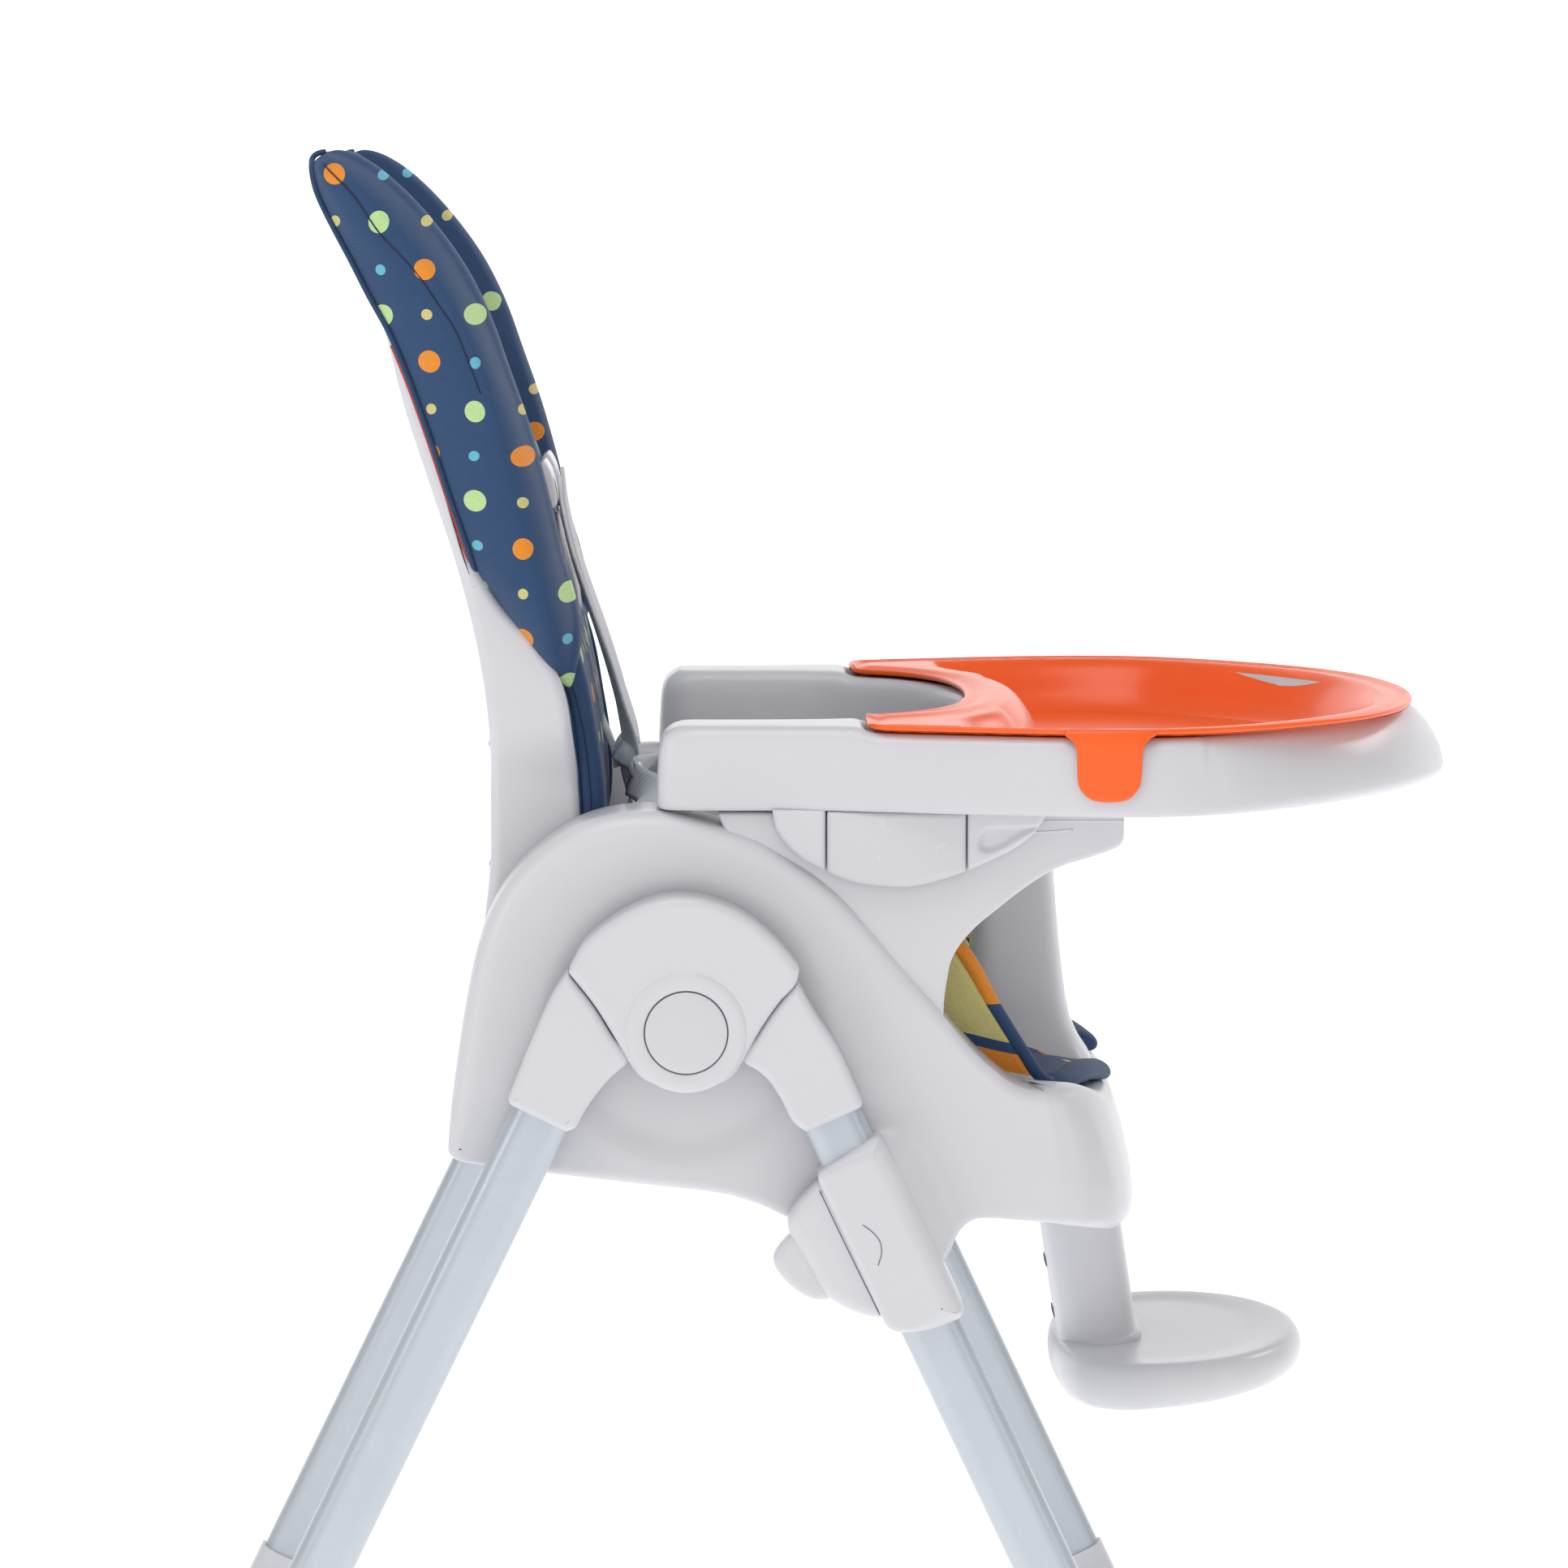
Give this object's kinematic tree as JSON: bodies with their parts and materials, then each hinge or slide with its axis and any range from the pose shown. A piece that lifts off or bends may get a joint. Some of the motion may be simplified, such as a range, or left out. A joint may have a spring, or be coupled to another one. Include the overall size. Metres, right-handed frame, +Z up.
{
  "type": "baby high chair",
  "caption": "Folding baby high chair with a reclining padded seat, harness, sliding feeding tray with a lift-out insert, telescopic footrest and adjustable height on splayed legs.",
  "frame": {"origin": "on the floor, at the middle of the chair's footprint and width", "axes": "+X towards the tray and footrest, +Y towards the child's left, +Z up"},
  "size_m": [0.8717, 0.548, 1.1113],
  "materials": {
    "shell_white": "glossy light grey-white moulded plastic",
    "tube_silver": "satin silver powder coat",
    "button_grey": "glossy grey-white plastic button",
    "insert_orange": "glossy orange plastic",
    "print_fabric": "navy printed coated fabric over foam",
    "webbing_white": "white woven webbing",
    "buckle_clear": "translucent grey-white plastic",
    "pad_rubber": "grey rubber",
    "pin_steel": "plain steel pin"
  },
  "bodies": {
    "front_frame": {"front_leg_right": "tube_silver", "front_leg_left": "tube_silver", "front_crossbar": "tube_silver", "front_foot_right": "shell_white", "front_foot_left": "shell_white", "front_foot_pads": "pad_rubber", "front_hinge_socket_right": "shell_white", "front_hinge_socket_left": "shell_white", "hinge_cover_right": "shell_white", "hinge_cover_left": "shell_white", "hinge_pivots": "pin_steel"},
    "rear_frame": {"rear_leg_right": "tube_silver", "rear_leg_left": "tube_silver", "rear_crossbar": "tube_silver", "rear_foot_right": "shell_white", "rear_foot_left": "shell_white", "rear_foot_pads": "pad_rubber", "rear_hinge_socket_right": "shell_white", "rear_hinge_socket_left": "shell_white"},
    "fold_button_right": {"fold_button_right": "button_grey"},
    "fold_button_left": {"fold_button_left": "button_grey"},
    "seat": {"seat_side_right": "shell_white", "seat_side_left": "shell_white", "seat_tub": "shell_white", "height_slider_right": "shell_white", "height_slider_left": "shell_white", "height_housing_right": "shell_white", "height_housing_left": "shell_white", "tray_rail_right": "shell_white", "tray_rail_left": "shell_white", "crotch_post": "shell_white", "seat_cushion": "print_fabric", "backrest_pivots": "pin_steel", "harness_buckle": "buckle_clear", "crotch_strap": "webbing_white", "waist_straps": "webbing_white"},
    "height_button_right": {"height_button_right": "button_grey"},
    "height_button_left": {"height_button_left": "button_grey"},
    "backrest": {"backrest_shell": "shell_white", "backrest_cushion": "print_fabric", "shoulder_straps": "webbing_white", "strap_guides": "shell_white"},
    "tray": {"tray_base": "shell_white", "tray_bracket_right": "shell_white", "tray_bracket_left": "shell_white"},
    "tray_release_right": {"tray_release_right": "button_grey"},
    "tray_release_left": {"tray_release_left": "button_grey"},
    "tray_insert": {"tray_insert": "insert_orange"},
    "footrest": {"footrest_stem": "shell_white", "footrest_plate": "shell_white"}
  },
  "joints": [
    {"name": "frame_fold", "type": "hinge", "parent": "front_frame", "child": "rear_frame", "pos_m": [-0.0822, 0, 0.55], "axis": [0, -1, 0], "range_deg": [0, 50]},
    {"name": "fold_button_right_push", "type": "slide", "parent": "front_frame", "child": "fold_button_right", "axis": [0, 1, 0], "range_m": [0, 0.005], "stiffness_N_per_m": 500, "springref_m": -0.002},
    {"name": "fold_button_left_push", "type": "slide", "parent": "front_frame", "child": "fold_button_left", "axis": [0, -1, 0], "range_m": [0, 0.005], "stiffness_N_per_m": 500, "springref_m": -0.002},
    {"name": "seat_height", "type": "slide", "parent": "front_frame", "child": "seat", "axis": [-0.4242, 0, 0.9056], "range_m": [-0.125, 0]},
    {"name": "height_button_right_squeeze", "type": "slide", "parent": "seat", "child": "height_button_right", "axis": [0.9056, 0, 0.4242], "range_m": [0, 0.006], "stiffness_N_per_m": 500, "springref_m": -0.002},
    {"name": "height_button_left_squeeze", "type": "slide", "parent": "seat", "child": "height_button_left", "axis": [0.9056, 0, 0.4242], "range_m": [0, 0.006], "stiffness_N_per_m": 500, "springref_m": -0.002},
    {"name": "backrest_recline", "type": "hinge", "parent": "seat", "child": "backrest", "pos_m": [-0.2052, 0, 0.555], "axis": [0, -1, 0], "range_deg": [0, 22]},
    {"name": "tray_depth", "type": "slide", "parent": "seat", "child": "tray", "axis": [1, 0, 0], "range_m": [0, 0.055]},
    {"name": "tray_release_right_squeeze", "type": "slide", "parent": "tray", "child": "tray_release_right", "axis": [0, 1, 0], "range_m": [0, 0.003], "stiffness_N_per_m": 500, "springref_m": -0.002},
    {"name": "tray_release_left_squeeze", "type": "slide", "parent": "tray", "child": "tray_release_left", "axis": [0, -1, 0], "range_m": [0, 0.003], "stiffness_N_per_m": 500, "springref_m": -0.002},
    {"name": "insert_lift", "type": "slide", "parent": "tray", "child": "tray_insert", "axis": [0, 0, 1], "range_m": [0, 0.1]},
    {"name": "footrest_extension", "type": "slide", "parent": "seat", "child": "footrest", "axis": [-0.153, 0, 0.9882], "range_m": [-0.085, 0]}
  ]
}
